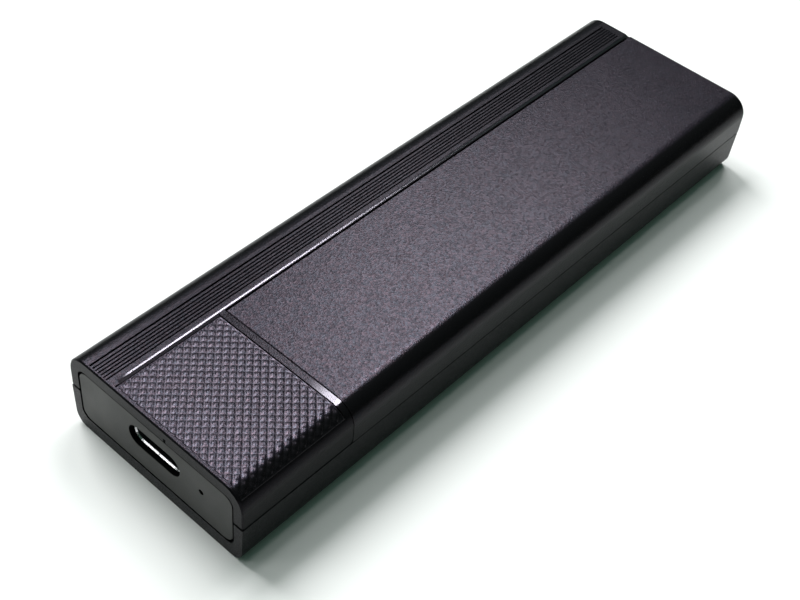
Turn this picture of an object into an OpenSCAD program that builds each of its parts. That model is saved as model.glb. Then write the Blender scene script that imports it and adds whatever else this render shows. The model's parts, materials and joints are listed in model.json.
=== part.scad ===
// Pocket logic analyzer: a slide-open metal case around one circuit board.
// Frame: origin at the middle of the underside, +Z up, the USB-C end faces -Y,
// the probe header faces +Y, and the ribbed rail is on the -X side.

/* [Case] */
// Overall width, X
case_w = 31.2; // [30.6:0.1:32.4]
// Overall length, Y
case_l = 107.4; // [106:0.2:112]
// Overall height, Z
case_h = 13.2; // [13:0.1:13.6]
// Radius of the two long top edges
top_r = 3.1; // [2.9:0.1:3.2]
// Radius of the two long bottom edges
bottom_r = 2; // [1.8:0.1:2.2]
// Height of the parting line between the halves
part_z = 7; // [6.9:0.05:7.1]
// Draft of the lower side walls, degrees
side_draft = 2; // [0:0.5:3]
// Thickness of the side walls
wall = 1.55; // [1.5:0.05:1.6]
// Thickness of the floor
floor_t = 2.1; // [2:0.05:2.2]
// Thickness of the roof
roof_t = 1.5; // [1.4:0.05:1.5]
// Visible gap between neighbouring pieces of the case
seam = 0.12; // [0.1:0.01:0.16]

/* [Top] */
// Distance from the front end to the edge of the sliding cover
cover_start = 18.5; // [18:0.1:19]
// Right edge of the ribbed rail, X
rail_edge = -7.5; // [-7.7:0.05:-7.4]
// Gap between the rail and the sliding cover
cover_gap = 0.3; // [0.25:0.05:0.35]
// Left edge of the grip pad, X
pad_x = -7; // [-7.05:0.05:-6.9]
// Visible gap along the left side of the grip pad
pad_gap = 0.2; // [0.15:0.05:0.25]
// Thickness of the grip pad
pad_t = 0.7; // [0.6:0.05:0.75]
// Length of the grip pad
pad_l = 16.9; // [16:0.1:17]
// Number of fine grooves in the rail
rib_count = 6; // [5:1:6]
// Distance between the fine grooves
rib_pitch = 0.5; // [0.45:0.01:0.5]

/* [Ends] */
// Length of the plate pockets at both ends
mouth_l = 3; // [2.8:0.1:3.2]
// Thickness of each end plate's visible panel
plate_t = 1.4; // [1.3:0.05:1.5]
// Depth of the plates below the rim
plate_sink = 0.05; // [0.03:0.01:0.15]
// Width of the rim above the front plate
rim_top = 1.85; // [1.75:0.05:1.9]
// Visible gap around the front plate
plate_gap = 0.28; // [0.2:0.01:0.3]
// Height of the USB-C socket's axis
port_z = 7.66; // [7.6:0.01:7.7]
// Width of the USB-C cut-out
port_w = 9.3; // [9.2:0.05:9.5]
// Height of the USB-C cut-out
port_h = 3.55; // [3.5:0.05:3.7]
// Distance of the indicator hole from the centre line
led_x = 8.4; // [8.2:0.05:8.6]
// Radius of the indicator hole
led_r = 0.42; // [0.4:0.01:0.45]

/* [Board] */
// Height of the board's underside
board_z = 6.6; // [6.55:0.05:6.65]
// Thickness of the board
board_t = 1.2; // [1:0.1:1.2]
// Width of the board
board_w = 25; // [24.6:0.1:25]
// Number of header columns
header_cols = 9; // [8:1:9]
// Pitch of the header
header_pitch = 2.54; // [2.54:0.01:2.54]
// Travel of the boot switch
boot_travel = 0.25; // [0.2:0.05:0.3]

/* [Hidden] */
$fn = 48;
EPS = 0.01;

half_w = case_w / 2;
front_y = -case_l / 2;
rear_y = case_l / 2;
seam_y = front_y + cover_start;
in_x = half_w - wall;
roof_z = case_h - roof_t;
board_top = board_z + board_t;
fit = 0.1;

// Front mouth, and the plate's corners
mouth_top = case_h - rim_top;
mouth_r = 1.5;
led_z = port_z - 0.15;

// Rear opening: lower and narrower, so that the cover's runners pass it
rear_right = in_x - 0.5;
rear_top = roof_z - 0.85;

// Groove that captures each end plate's flange
flange_t = 1;
flange_out = 0.5;
flange_up = 0.25;
plate_back = plate_sink + plate_t;
groove_y = plate_back - fit / 2;
groove_l = flange_t + fit;

// Tongue on the cover's left edge and its slot in the rail
tongue_w = 1.5;
tongue_root = 1.2;
tongue_t = 0.7;
slot_x = rail_edge - cover_gap / 2 - tongue_w;
slot_z = roof_z - tongue_t - fit;
rail_lip = 0.9;

// Both runners of the cover stop short of its ends
runner_y = [seam_y + 2.3, rear_y - mouth_l - 0.1];

// Runner inside the cover's right wall and its guide on the bottom shell
guide_x = 13;
guide_t = 0.55;
guide_top = part_z + 2.1;
hook_t = 0.55;
hook_w = 0.95;
guide_foot = part_z - 1.6;
runner_z = [part_z + 0.45, part_z + 1.45];

// Detent: shelf on the frame's ledge, leaf spring and dimple in the cover
ledge_t = 1;
ledge_l = 2;
shelf_x = [0, 5];
shelf_l = 9;
shelf_drop = 0.4;
spring_w = [1, 4];
spring_t = 0.12;
crest_gap = 0.06;
crest_y = seam_y + 4;
stake_y = seam_y + 8;
stake_x = (spring_w[0] + spring_w[1]) / 2;
stake_r = 0.5;
dimple_r = 1.2;
dimple_depth = 0.4;

// Size of the broken edge at the front
edge_break = 0.2;

// Rail decoration
rail_chamfer = [0.5, 0.16];
deep_groove_x = -11.78;
deep_groove = [0.32, 0.4];
fine_groove = [0.26, 0.2];
rib_start = 0.35;
rib_end = 1.4;

// Grip pad
pad_front = front_y + 0.45;
pad_rear_gap = 0.15;
pad_wrap_z = case_h - 1.2;

// Screws: [x, y] of the case screws, then of the board screws
screw_x = 10.5;
front_screw_y = front_y + 12;
mid_screw_y = -2;
rear_screw_y = 36;
CASE_SCREWS = [
    [-screw_x, front_screw_y], [screw_x, front_screw_y],
    [-screw_x, mid_screw_y], [-screw_x, rear_screw_y]
];
BOARD_SCREWS = [[screw_x, mid_screw_y], [screw_x, rear_screw_y]];
screw_r = 0.98;
pilot_r = 1;
clear_r = 1.1;
head_r = 1.9;
post_r = 2.2;
case_screw_top = roof_z - 1.1;
board_screw_low = 3.4;

// USB-C socket
usb_w = 8.94;
usb_h = 3.26;
usb_t = 0.3;
usb_seam = 0.1;
usb_l = 7.35;
usb_y = front_y + 0.7;

// Board outline along Y
board_y0 = front_y + 2.9;
board_y1 = 42.6;

// Header, straddling the board's rear edge
header_y = board_y1;
header_d = 2.5;
header_h = 5;
header_z = board_z + board_t / 2;
header_half = header_cols * header_pitch / 2;
pin_w = 0.64;
pin_tip = rear_y - 2.6;
window_gap = 0.32;

// Chip positions
fpga_y = -9;
fpga_w = 14;
pad_h = 1;
switch_xy = [9.9, 8];
switch_size = [4.2, 3.2, 1.5];
plunger_r = 0.9;

// ---------------------------------------------------------------- helpers

// Extrudes an X-Z outline from y0 to y1
module along_y(y0, y1) {
    translate([0, y1, 0]) rotate([90, 0, 0]) linear_extrude(height = y1 - y0) children();
}

// Extrudes a Y-Z outline from x0 to x1
module along_x(x0, x1) {
    translate([x0, 0, 0]) rotate([90, 0, 90]) linear_extrude(height = x1 - x0) children();
}

module block(x, y, z) {
    translate([x[0], y[0], z[0]]) cube([x[1] - x[0], y[1] - y[0], z[1] - z[0]]);
}

module post(xy, z, r) {
    translate([xy[0], xy[1], z[0]]) cylinder(h = z[1] - z[0], r = r);
}

// Rectangle with round corners between two corner points
module round_rect(low, high, r) {
    size = high - low;
    translate(low + [r, 0]) square([size[0] - 2 * r, size[1]]);
    translate(low + [0, r]) square([size[0], size[1] - 2 * r]);
    for (x = [low[0] + r, high[0] - r], y = [low[1] + r, high[1] - r])
        translate([x, y]) circle(r = r);
}

// Slot shape with round ends, centred on the USB-C axis
module stadium(w, h) {
    translate([0, port_z]) {
        square([w - h, h], center = true);
        for (s = [-1, 1]) translate([s * (w - h) / 2, 0]) circle(d = h);
    }
}

// ---------------------------------------------------------------- case outlines

// Outer outline above the parting line, with its lower edge at z
module upper_outline(z, inset = 0) {
    r = top_r - inset;
    w = half_w - inset;
    h = case_h - inset;
    translate([-w, z]) square([2 * w, h - r - z]);
    translate([-w + r, z]) square([2 * (w - r), h - z]);
    for (s = [-1, 1]) translate([s * (w - r), h - r]) circle(r = r);
}

// Outer outline below the parting line, with its upper edge at z
module lower_outline(z) {
    nx = cos(side_draft);
    nz = sin(side_draft);
    tangent_z = bottom_r * (1 - nz);
    edge_x = half_w - 0.03;
    tangent_x = edge_x - (part_z - tangent_z) * tan(side_draft);
    round_x = tangent_x - bottom_r * nx;
    top_x = tangent_x + (z - tangent_z) * tan(side_draft);
    polygon([
        [-round_x, 0], [round_x, 0], [tangent_x, tangent_z], [top_x, z],
        [-top_x, z], [-tangent_x, tangent_z]
    ]);
    for (s = [-1, 1]) translate([s * round_x, bottom_r]) circle(r = bottom_r);
}

// Hollow of the case, and with grow > 0 the plate groove around it
module hollow_outline(grow = 0, up = 0) {
    round_rect([-in_x - grow, floor_t - grow], [in_x + grow, roof_z + up], 2);
}

// Opening at the front end
module mouth_outline(grow = 0) {
    round_rect([-in_x - grow, floor_t - grow], [in_x + grow, mouth_top + grow], mouth_r);
}

// Opening at the rear end
module rear_outline(grow = 0) {
    round_rect([-in_x - grow, floor_t - grow], [rear_right, rear_top], 1.6);
}

// Everything removed from the inside of both case halves
module case_hollow() {
    along_y(front_y - 1, front_y + groove_y + EPS) mouth_outline();
    along_y(front_y + groove_y, rear_y - mouth_l) hollow_outline();
    along_y(rear_y - mouth_l - EPS, rear_y + 1) rear_outline();
    along_y(front_y + groove_y, front_y + groove_y + groove_l)
        hollow_outline(flange_out + fit, flange_up + fit);
    along_y(rear_y - groove_y - groove_l, rear_y - groove_y) rear_outline(flange_out + fit);
}

// Small V cut along the parting line at both ends and sides, and the pry slots in the front rim
module parting_cut() {
    v = 0.16;
    slot = [0.4, 0.5];
    for (s = [-1, 1])
        block([s * half_w - wall, s * half_w + wall], [front_y - 1, front_y + slot[1]],
            [part_z - slot[0] / 2, part_z + slot[0] / 2]);
    for (s = [-1, 1])
        along_y(front_y - 1, rear_y + 1)
            translate([s * half_w, part_z]) rotate(45) square(v * 2, center = true);
    for (y = [front_y, rear_y])
        along_x(-half_w - 1, half_w + 1)
            translate([y, part_z]) rotate(45) square(v * 2, center = true);
}

// ---------------------------------------------------------------- case parts

module bottom_shell() {
    color("#26262a") difference() {
        union() {
            difference() {
                along_y(front_y, rear_y) lower_outline(part_z - seam / 2);
                case_hollow();
                parting_cut();
            }
            for (p = concat(CASE_SCREWS, BOARD_SCREWS)) post(p, [floor_t - EPS, board_z], post_r);
            heat_plateau();
            cover_guide();
        }
        for (p = CASE_SCREWS) countersunk_hole(p);
        for (p = BOARD_SCREWS) post(p, [board_screw_low - 0.4, board_z + 1], pilot_r);
    }
}

// Raised pad of the floor that takes heat from under the gate array
module heat_plateau() {
    block([-fpga_w / 2, fpga_w / 2], [fpga_y - fpga_w / 2, fpga_y + fpga_w / 2],
        [floor_t - EPS, board_z - pad_h]);
}

// Upright with an outward hook that holds the cover's runner down
module cover_guide() {
    y = [seam_y + 1, rear_y - mouth_l - 0.2];
    block([guide_x, in_x + 0.3], y, [guide_foot, part_z - seam / 2]);
    block([guide_x, guide_x + guide_t], y, [guide_foot, guide_top]);
    block([guide_x, guide_x + hook_w], y, [guide_top - hook_t, guide_top]);
}

module countersunk_hole(p) {
    post(p, [-1, board_z + 1], clear_r);
    translate([p[0], p[1], -EPS]) cylinder(h = 1.2, r1 = head_r + fit, r2 = clear_r);
}

module top_frame() {
    color("#2b2a30") difference() {
        union() {
            difference() {
                union() {
                    along_y(front_y, seam_y - seam / 2) upper_outline(part_z + seam / 2);
                    intersection() {
                        along_y(front_y, rear_y) upper_outline(part_z + seam / 2);
                        block([-half_w - 1, rail_edge], [front_y, rear_y], [0, case_h + 1]);
                    }
                }
                case_hollow();
                parting_cut();
            }
            rail_core();
            cover_ledge();
            frame_bosses();
        }
        along_y(rear_y - mouth_l - EPS, rear_y + 1) rear_outline();
        along_y(rear_y - groove_y - groove_l, rear_y - groove_y) rear_outline(flange_out + fit);
        tongue_slot();
        rail_grooves();
        rail_edge_chamfer();
        front_edge_chamfer();
        pad_pocket();
        side_corner_relief();
        rim_notch();
        for (p = CASE_SCREWS) post(p, [board_z, case_screw_top + 0.1], pilot_r);
    }
}

// Thick part of the rail, around the slot for the cover's tongue
module rail_core() {
    block([-in_x - 0.2, rail_edge], [seam_y - 2, rear_y], [slot_z - rail_lip, roof_z + 0.2]);
}

module tongue_slot() {
    block([slot_x, rail_edge + 1], [seam_y - seam / 2, rear_y + 1], [slot_z, roof_z + fit]);
    block([slot_x, rail_edge + 1], [rear_y - mouth_l, rear_y + 1], [slot_z - 2, roof_z]);
}

// Ledge under the cover's front edge, with a shelf and stake for the detent spring
module cover_ledge() {
    low = roof_z - ledge_t;
    right = guide_x - 0.2;
    block([rail_edge - 1, right], [seam_y - ledge_l, seam_y - seam / 2], [low, roof_z + EPS]);
    block([rail_edge - EPS, right], [seam_y - 1, seam_y + ledge_l], [low, roof_z - fit]);
    block(shelf_x, [seam_y - 1, seam_y + shelf_l], [low, roof_z - shelf_drop]);
    post([stake_x, stake_y], [low, roof_z - shelf_drop / 2], stake_r);
}

// Bosses that clamp the board and take the case screws
module frame_bosses() {
    for (p = CASE_SCREWS) post(p, [board_top, roof_z + 0.1], post_r - 0.1);
}

module v_groove(x, size, y) {
    along_y(y[0], y[1])
        polygon([[x - size[0] / 2, case_h + EPS], [x + size[0] / 2, case_h + EPS],
            [x, case_h - size[1]]]);
}

module rail_grooves() {
    y = [front_y + rib_start, rear_y - rib_end];
    v_groove(deep_groove_x, deep_groove, y);
    for (i = [1:rib_count])
        v_groove(deep_groove_x + 0.1 + i * rib_pitch, fine_groove, y);
}

// Sloped edge of the rail that catches the light, with a narrow step beside the pad
module rail_edge_chamfer() {
    foot = case_h - rail_chamfer[1];
    along_y(front_y + 1.2, rear_y + 1)
        polygon([[rail_edge - rail_chamfer[0], case_h], [rail_edge + EPS, foot],
            [rail_edge + EPS, case_h + 1], [rail_edge - rail_chamfer[0], case_h + 1]]);
    block([rail_edge, pad_x - pad_gap + EPS], [front_y + 1.2, pad_front + pad_l + pad_rear_gap],
        [foot, case_h + 1]);
}

// Broken edge round the top frame's front face
module front_edge_chamfer() {
    corner_x = half_w - top_r;
    corner_z = case_h - top_r;
    along_x(-corner_x, corner_x) translate([front_y, case_h]) edge_square();
    for (s = [-1, 1]) {
        translate([s * half_w, front_y, part_z - 1])
            linear_extrude(height = corner_z - part_z + 1) edge_square();
        intersection() {
            translate([s * corner_x, front_y, corner_z]) rotate([90, 0, 0])
                rotate_extrude() translate([top_r, 0]) edge_square();
            block(s > 0 ? [corner_x, half_w + 1] : [-half_w - 1, -corner_x],
                [front_y - 1, front_y + 1], [corner_z, case_h + 1]);
        }
    }
}

module edge_square() {
    rotate(45) square(edge_break * sqrt(2), center = true);
}

// Outline of the grip pad: the flat top and the start of the rounded edge
module pad_outline(left) {
    intersection() {
        difference() {
            upper_outline(part_z);
            upper_outline(part_z - 1, pad_t);
        }
        translate([left, pad_wrap_z]) square([2 * half_w, case_h]);
    }
}

module pad_pocket() {
    along_y(pad_front, pad_front + pad_l + pad_rear_gap) pad_outline(pad_x - pad_gap);
}

// The front block's lower rear corner is rounded where it meets the cover
module side_corner_relief() {
    r = 0.9;
    y = seam_y - seam / 2;
    z = part_z + seam / 2;
    along_x(in_x - 1, half_w + 1) difference() {
        translate([y - r, z - EPS]) square([r + EPS, r + EPS]);
        translate([y - r, z + r]) circle(r = r);
    }
}

// Small notch in the rim above the socket, for prising the plate out
module rim_notch() {
    block([2, 2.4], [front_y - 1, front_y + 0.5], [roof_z - 0.5, roof_z + 0.25]);
}

module slide_cover() {
    y = [seam_y + seam / 2, rear_y];
    left = rail_edge + cover_gap;
    color("#3a3840") difference() {
        union() {
            difference() {
                intersection() {
                    along_y(y[0], y[1]) upper_outline(part_z + seam / 2);
                    block([left, half_w + 1], y, [0, case_h + 1]);
                }
                along_y(y[0] - 1, y[1] + 1)
                    round_rect([-in_x, 0], [in_x + 0.05, roof_z], 1.6);
            }
            cover_tongue(left);
            gap_rib(left, y);
            cover_runner();
            rear_lip();
        }
        translate([stake_x, crest_y, roof_z + dimple_depth - dimple_r]) sphere(r = dimple_r);
        cover_edge_chamfers(left, y);
    }
}

module cover_tongue(left) {
    block([left - tongue_w, left + tongue_root], runner_y, [roof_z - tongue_t, roof_z]);
    block([left, left + tongue_root], runner_y, [roof_z - tongue_t, roof_z + 0.2]);
}

// Rib that fills the depth of the gap to the rail, and closes its rear end
module gap_rib(left, y) {
    x = [left - cover_gap + fit, left + EPS];
    block(x, y, [roof_z - EPS, case_h - 0.4]);
    block(x, [y[1] - 1, y[1]], [roof_z - EPS, case_h - rail_chamfer[1]]);
}

module cover_runner() {
    block([guide_x + guide_t + fit, in_x + 0.3], runner_y, runner_z);
}

// Rim around the rear end plate
module rear_lip() {
    y = [rear_y - mouth_l + 0.05, rear_y];
    difference() {
        union() {
            block([slot_x + fit, in_x + 0.3], y, [rear_top - 1.7, roof_z]);
            block([rear_right - 1.7, in_x + 0.3], y, [part_z + seam / 2, roof_z]);
        }
        along_y(y[0] - 1, y[1] + 1) rear_outline();
    }
}

// Broken edges along the cover's left side and its front
module cover_edge_chamfers(left, y) {
    c = 0.12;
    along_y(y[0] - 1, y[1] + 1)
        translate([left, case_h]) rotate(45) square(c * sqrt(2), center = true);
    along_x(left - 1, half_w - top_r)
        translate([y[0], case_h]) rotate(45) square(c * sqrt(2), center = true);
}

module grip_pad() {
    color("#45424c") along_y(pad_front, pad_front + pad_l) pad_outline(pad_x);
}

module front_end_plate() {
    back = front_y + plate_back;
    color("#3c3c3c") difference() {
        union() {
            along_y(front_y + plate_sink, back + EPS) mouth_outline(-plate_gap);
            along_y(back, back + flange_t) hollow_outline(flange_out, flange_up);
        }
        along_y(front_y - 1, back + flange_t + 1) stadium(port_w, port_h);
        translate([led_x, front_y, led_z])
            rotate([-90, 0, 0]) cylinder(h = 10, r = led_r, center = true);
    }
}

module rear_end_plate() {
    back = rear_y - plate_back;
    low = [-in_x + fit, floor_t + fit];
    high = [rear_right - fit, rear_top - fit];
    window = [header_half + window_gap, header_h / 2 + 0.35];
    color("#3c3c3c") difference() {
        union() {
            along_y(back - EPS, rear_y - plate_sink) round_rect(low, high, 1.5);
            along_y(back - flange_t, back) round_rect(low - [flange_out, flange_out], high, 1.5);
        }
        block([-window[0], window[0]], [back - 5, rear_y + 1],
            [header_z - window[1], header_z + window[1]]);
    }
}

module light_pipe() {
    back = front_y + plate_back + flange_t;
    color("#e8e8e0") translate([led_x, 0, led_z]) {
        translate([0, front_y + 0.9, 0]) rotate([-90, 0, 0])
            cylinder(h = back - front_y - 0.9, r = led_r - 0.04);
        translate([0, back, 0]) rotate([-90, 0, 0]) cylinder(h = 0.3, r = 0.8);
    }
}

// Leaf that clicks into the dimple under the cover
module detent_spring() {
    t = spring_t;
    z = roof_z - shelf_drop;
    top = roof_z - crest_gap;
    tip = seam_y + ledge_l + 0.1;
    bend = crest_y + 2;
    tail = seam_y + shelf_l - 0.1;
    color("#c9c9cc") difference() {
        along_x(spring_w[0], spring_w[1]) polygon([
            [tip, z], [crest_y - 0.5, top - t], [crest_y + 0.5, top - t], [bend, z], [tail, z],
            [tail, z + t], [bend, z + t], [crest_y + 0.5, top], [crest_y - 0.5, top], [tip, z + t]
        ]);
        post([stake_x, stake_y], [z - 1, z + 1], stake_r);
    }
}

module case_screws() {
    color("#55555a") for (p = CASE_SCREWS) difference() {
        union() {
            translate([p[0], p[1], 0.06]) cylinder(h = 1.1, r1 = head_r, r2 = screw_r);
            post(p, [0.1, case_screw_top], screw_r);
        }
        translate([p[0], p[1], -EPS]) cylinder(h = 0.7, r = 0.75, $fn = 6);
    }
}

module board_screws() {
    color("#b9b9bd") for (p = BOARD_SCREWS) difference() {
        union() {
            post(p, [board_top, board_top + 1.2], head_r);
            post(p, [board_screw_low, board_top + EPS], screw_r);
        }
        translate([p[0], p[1], board_top + 0.6]) cylinder(h = 1, r = 0.75, $fn = 6);
    }
}

// ---------------------------------------------------------------- board

module main_board() {
    color("#143a24") difference() {
        block([-board_w / 2, board_w / 2], [board_y0, board_y1], [board_z, board_top]);
        block([-usb_w / 2 - 0.13, usb_w / 2 + 0.13], [board_y0 - 1, usb_y + usb_l + 0.15],
            [board_z - 1, board_top + 1]);
        for (p = concat(CASE_SCREWS, BOARD_SCREWS)) post(p, [board_z - 1, board_top + 1], clear_r);
    }
}

module thermal_pad() {
    w = fpga_w / 2;
    color("#8d9aa8") block([-w, w], [fpga_y - w, fpga_y + w], [board_z - pad_h, board_z]);
}

module usb_c_shell() {
    inner_w = usb_w - 2 * usb_t;
    inner_h = usb_h - 2 * usb_t;
    color("#c6c8cb") difference() {
        union() {
            along_y(usb_y, usb_y + usb_l) stadium(usb_w, usb_h);
            for (s = [-1, 1], y = [2.9, 5.6])
                block([s * (usb_w / 2 + 0.4) - 0.7, s * (usb_w / 2 + 0.4) + 0.7],
                    [usb_y + y, usb_y + y + 1.1], [board_top, board_top + 0.25]);
        }
        along_y(usb_y - 1, usb_y + usb_l - usb_t) stadium(inner_w, inner_h);
        block([-usb_seam / 2, usb_seam / 2], [usb_y - 1, usb_y + usb_l - 1],
            [port_z - usb_h / 2 - EPS, port_z - usb_h / 2 + usb_t + EPS]);
    }
}

// Insulator: the tongue and the block that closes the socket's back
module usb_c_tongue() {
    back = usb_y + usb_l - usb_t;
    color("#1c1c1e") {
        along_y(back - 1.4, back) stadium(usb_w - 2 * usb_t, usb_h - 2 * usb_t);
        block([-3.3, 3.3], [usb_y + 0.9, back - 1], [port_z - 0.33, port_z + 0.33]);
    }
}

module usb_c_contacts() {
    t = 0.06;
    color("#d8b45a") for (i = [0:11], z = [port_z - 0.33 - t, port_z + 0.33])
        block([(i - 5.5) * 0.5 - 0.125, (i - 5.5) * 0.5 + 0.125],
            [usb_y + 1.3, usb_y + usb_l - usb_t - 1.4], [z, z + t]);
}

// Plain rectangular package standing on the board
module package(x, y, size, rise = 0) {
    block([x - size[0] / 2, x + size[0] / 2], [y - size[1] / 2, y + size[1] / 2],
        [board_top + rise, board_top + rise + size[2]]);
}

// Row of gull-wing leads on both long sides of a package, along Y
module lead_rows(x, y, half_span, count, pitch, w) {
    for (s = [-1, 1], i = [0:count - 1]) {
        ly = y + (i - (count - 1) / 2) * pitch;
        foot = x + s * half_span;
        block([foot - 0.35, foot + 0.35], [ly - w / 2, ly + w / 2], [board_top, board_top + 0.15]);
        block([foot - s * 0.35 - 0.1, foot - s * 0.35 + 0.1], [ly - w / 2, ly + w / 2],
            [board_top, board_top + 0.6]);
        block([foot - s * 0.35 - 0.35, foot - s * 0.35 + 0.35], [ly - w / 2, ly + w / 2],
            [board_top + 0.45, board_top + 0.6]);
    }
}

module surge_arrays() {
    color("#202022") for (x = [-2.5, 2.5]) {
        package(x, front_y + 10.6, [1.6, 2.9, 1], 0.1);
        lead_rows(x, front_y + 10.6, 1.3, 3, 0.95, 0.4);
    }
}

module usb_bridge_chip() {
    color("#18181a") package(1.5, -28.5, [8, 8, 0.85]);
}

module gate_array_chip() {
    color("#161618") {
        package(0, fpga_y, [fpga_w, fpga_w, 0.4], 0.3);
        package(0, fpga_y, [fpga_w - 1.6, fpga_w - 1.6, 0.8], 0.6);
        for (i = [0:7], j = [0:7])
            translate([(i - 3.5) * 1.6, fpga_y + (j - 3.5) * 1.6, board_top])
                cylinder(h = 0.35, r = 0.3, $fn = 16);
    }
}

module memory_chip() {
    color("#161618") {
        package(0, 8, [14, 8, 0.8], 0.3);
        for (i = [0:7], j = [0:3])
            translate([(i - 3.5) * 1.6, 8 + (j - 1.5) * 1.8, board_top])
                cylinder(h = 0.35, r = 0.25, $fn = 16);
    }
}

module flash_chip() {
    color("#18181a") {
        package(-4.6, -21, [3.9, 4.9, 1.4], 0.15);
        lead_rows(-4.6, -21, 2.65, 4, 1.27, 0.42);
    }
}

module buffer_chips() {
    color("#18181a") for (x = [-5, 5]) {
        package(x, 24, [6.1, 12.5, 0.95], 0.12);
        lead_rows(x, 24, 3.75, 24, 0.5, 0.22);
    }
}

module resistor_arrays() {
    color("#2a2a2c") for (x = [-6.3, -2.1, 2.1, 6.3]) package(x, 35.5, [3.2, 1.6, 0.5]);
}

// Rows of small ceramic capacitors: [x, y, count, pitch]
CAPACITOR_ROWS = [
    [0, -17.2, 5, 2.6], [0, 0.2, 6, 2.4], [0, 14, 6, 2.4], [0, 32.3, 6, 2.6], [0, -37, 4, 3]
];

module chip_capacitors() {
    color("#b08a5a") for (row = CAPACITOR_ROWS, i = [0:row[2] - 1])
        package(row[0] + (i - (row[2] - 1) / 2) * row[3], row[1], [1.6, 0.8, 0.8]);
}

module power_inductors() {
    color("#3a3a3d") for (y = [-25.5, -16.5, -7.5]) package(10, y, [4, 4, 1.9]);
}

module regulator_chips() {
    color("#18181a") for (y = [-30, -21, -12]) package(10, y, [3, 3, 0.9]);
}

module clock_crystal() {
    color("#c8c8c8") package(-5.6, -29, [3.2, 2.5, 0.8]);
}

module status_led() {
    color("#f2f2e6") package(led_x, board_y0 + 0.55, [1.6, 0.8, 0.7]);
}

module boot_switch_body() {
    color("#d0d0d2") difference() {
        package(switch_xy[0], switch_xy[1], switch_size);
        post(switch_xy, [board_top + 0.4, board_top + 3], plunger_r + fit);
    }
}

module boot_switch_plunger() {
    color("#1a1a1c") post(switch_xy, [board_top + 0.4 + boot_travel + 0.1, board_top + 2.2], plunger_r);
}

// ---------------------------------------------------------------- header

function pin_x(i) = (i - (header_cols - 1) / 2) * header_pitch;

module probe_header_body() {
    color("#1b1b1d") difference() {
        block([-header_half, header_half], [header_y, header_y + header_d],
            [header_z - header_h / 2, header_z + header_h / 2]);
        for (i = [0:header_cols - 1], s = [-1, 1]) pin_shank(i, s);
    }
}

module pin_shank(i, s) {
    z = header_z + s * header_pitch / 2;
    block([pin_x(i) - pin_w / 2, pin_x(i) + pin_w / 2], [header_y - 0.7, pin_tip],
        [z - pin_w / 2, z + pin_w / 2]);
}

// Pins with their tails soldered on both faces of the board
module probe_header_pins() {
    face = board_t / 2;
    color("#d9b75c") for (i = [0:header_cols - 1], s = [-1, 1]) {
        pin_shank(i, s);
        low = header_z + (s > 0 ? face : -face - 0.4);
        block([pin_x(i) - pin_w / 2, pin_x(i) + pin_w / 2], [header_y - 2.6, header_y - 0.1],
            [low, low + 0.4]);
        drop = header_z + (s > 0 ? face : -header_pitch / 2 - pin_w / 2);
        block([pin_x(i) - pin_w / 2, pin_x(i) + pin_w / 2], [header_y - 0.7, header_y - 0.1],
            [drop, drop + header_pitch / 2 + pin_w / 2 - face]);
    }
}

bottom_shell();
top_frame();
slide_cover();
grip_pad();
front_end_plate();
rear_end_plate();
light_pipe();
detent_spring();
case_screws();
board_screws();
main_board();
thermal_pad();
usb_c_shell();
usb_c_tongue();
usb_c_contacts();
surge_arrays();
usb_bridge_chip();
gate_array_chip();
memory_chip();
flash_chip();
buffer_chips();
resistor_arrays();
chip_capacitors();
power_inductors();
regulator_chips();
clock_crystal();
status_led();
boot_switch_body();
boot_switch_plunger();
probe_header_body();
probe_header_pins();
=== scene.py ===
"""Looks of the pocket logic analyzer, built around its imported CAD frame.

The case, end plates, board, screws, spring and socket tongue are the CAD nodes, with broken
edges and procedural materials. The grip pad, the socket shell and the parts on the board are
modelled here in more detail and shown in place of their CAD nodes. They have the sizes of the
solids they stand for; solder fillets, pads and pin-one marks reach slightly past those.
"""

import json
import math

import bmesh
import bpy
from mathutils import Matrix, Vector


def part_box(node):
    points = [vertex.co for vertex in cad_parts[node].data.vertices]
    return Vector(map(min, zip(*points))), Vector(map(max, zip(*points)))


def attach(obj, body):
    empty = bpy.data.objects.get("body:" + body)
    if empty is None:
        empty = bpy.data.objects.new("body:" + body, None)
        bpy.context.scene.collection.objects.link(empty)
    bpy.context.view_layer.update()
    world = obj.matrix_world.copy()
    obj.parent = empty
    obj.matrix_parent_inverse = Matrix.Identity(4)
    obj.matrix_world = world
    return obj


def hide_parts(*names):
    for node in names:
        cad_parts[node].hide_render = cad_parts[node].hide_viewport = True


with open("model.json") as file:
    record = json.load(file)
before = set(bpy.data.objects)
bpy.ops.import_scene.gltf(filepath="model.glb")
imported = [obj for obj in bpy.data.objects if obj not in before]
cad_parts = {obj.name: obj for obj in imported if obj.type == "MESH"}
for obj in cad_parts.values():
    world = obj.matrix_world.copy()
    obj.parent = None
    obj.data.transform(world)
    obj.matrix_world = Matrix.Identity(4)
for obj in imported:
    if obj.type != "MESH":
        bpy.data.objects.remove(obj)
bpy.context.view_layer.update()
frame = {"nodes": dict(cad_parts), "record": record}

MM = 0.001
NODES = frame["nodes"]

# Socket shell: outside width and height, wall, gap of the rolled seam
SOCKET_SIZE = (8.94 * MM, 3.26 * MM)
SOCKET_WALL = 0.3 * MM
SOCKET_SEAM = 0.12 * MM
SOCKET_CHAMFER = 0.2 * MM

# Grip texture: two families of grooves at 45 degrees, the second one shallower
KNURL_PITCH = 0.965 * MM
KNURL_DEPTH = 0.16 * MM
KNURL_STEPS = 12
KNURL_SECOND = 0.42
KNURL_ROUNDNESS = 0.85
PAD_MARGIN = 0.18 * MM
PAD_THICKNESS = 0.62 * MM
TOP_EDGE_RADIUS = 3.1 * MM

# Polished line on the rail's slope, measured left from the grip pad's edge; part polish, part painted
# highlight
RAIL_POLISH_AND_HIGHLIGHT = (0.83 * MM, 0.64 * MM)
RAIL_START = 2 * MM
RAIL_DROP = 0.3 * MM
RAIL_GLOSS = 0.5
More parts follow.
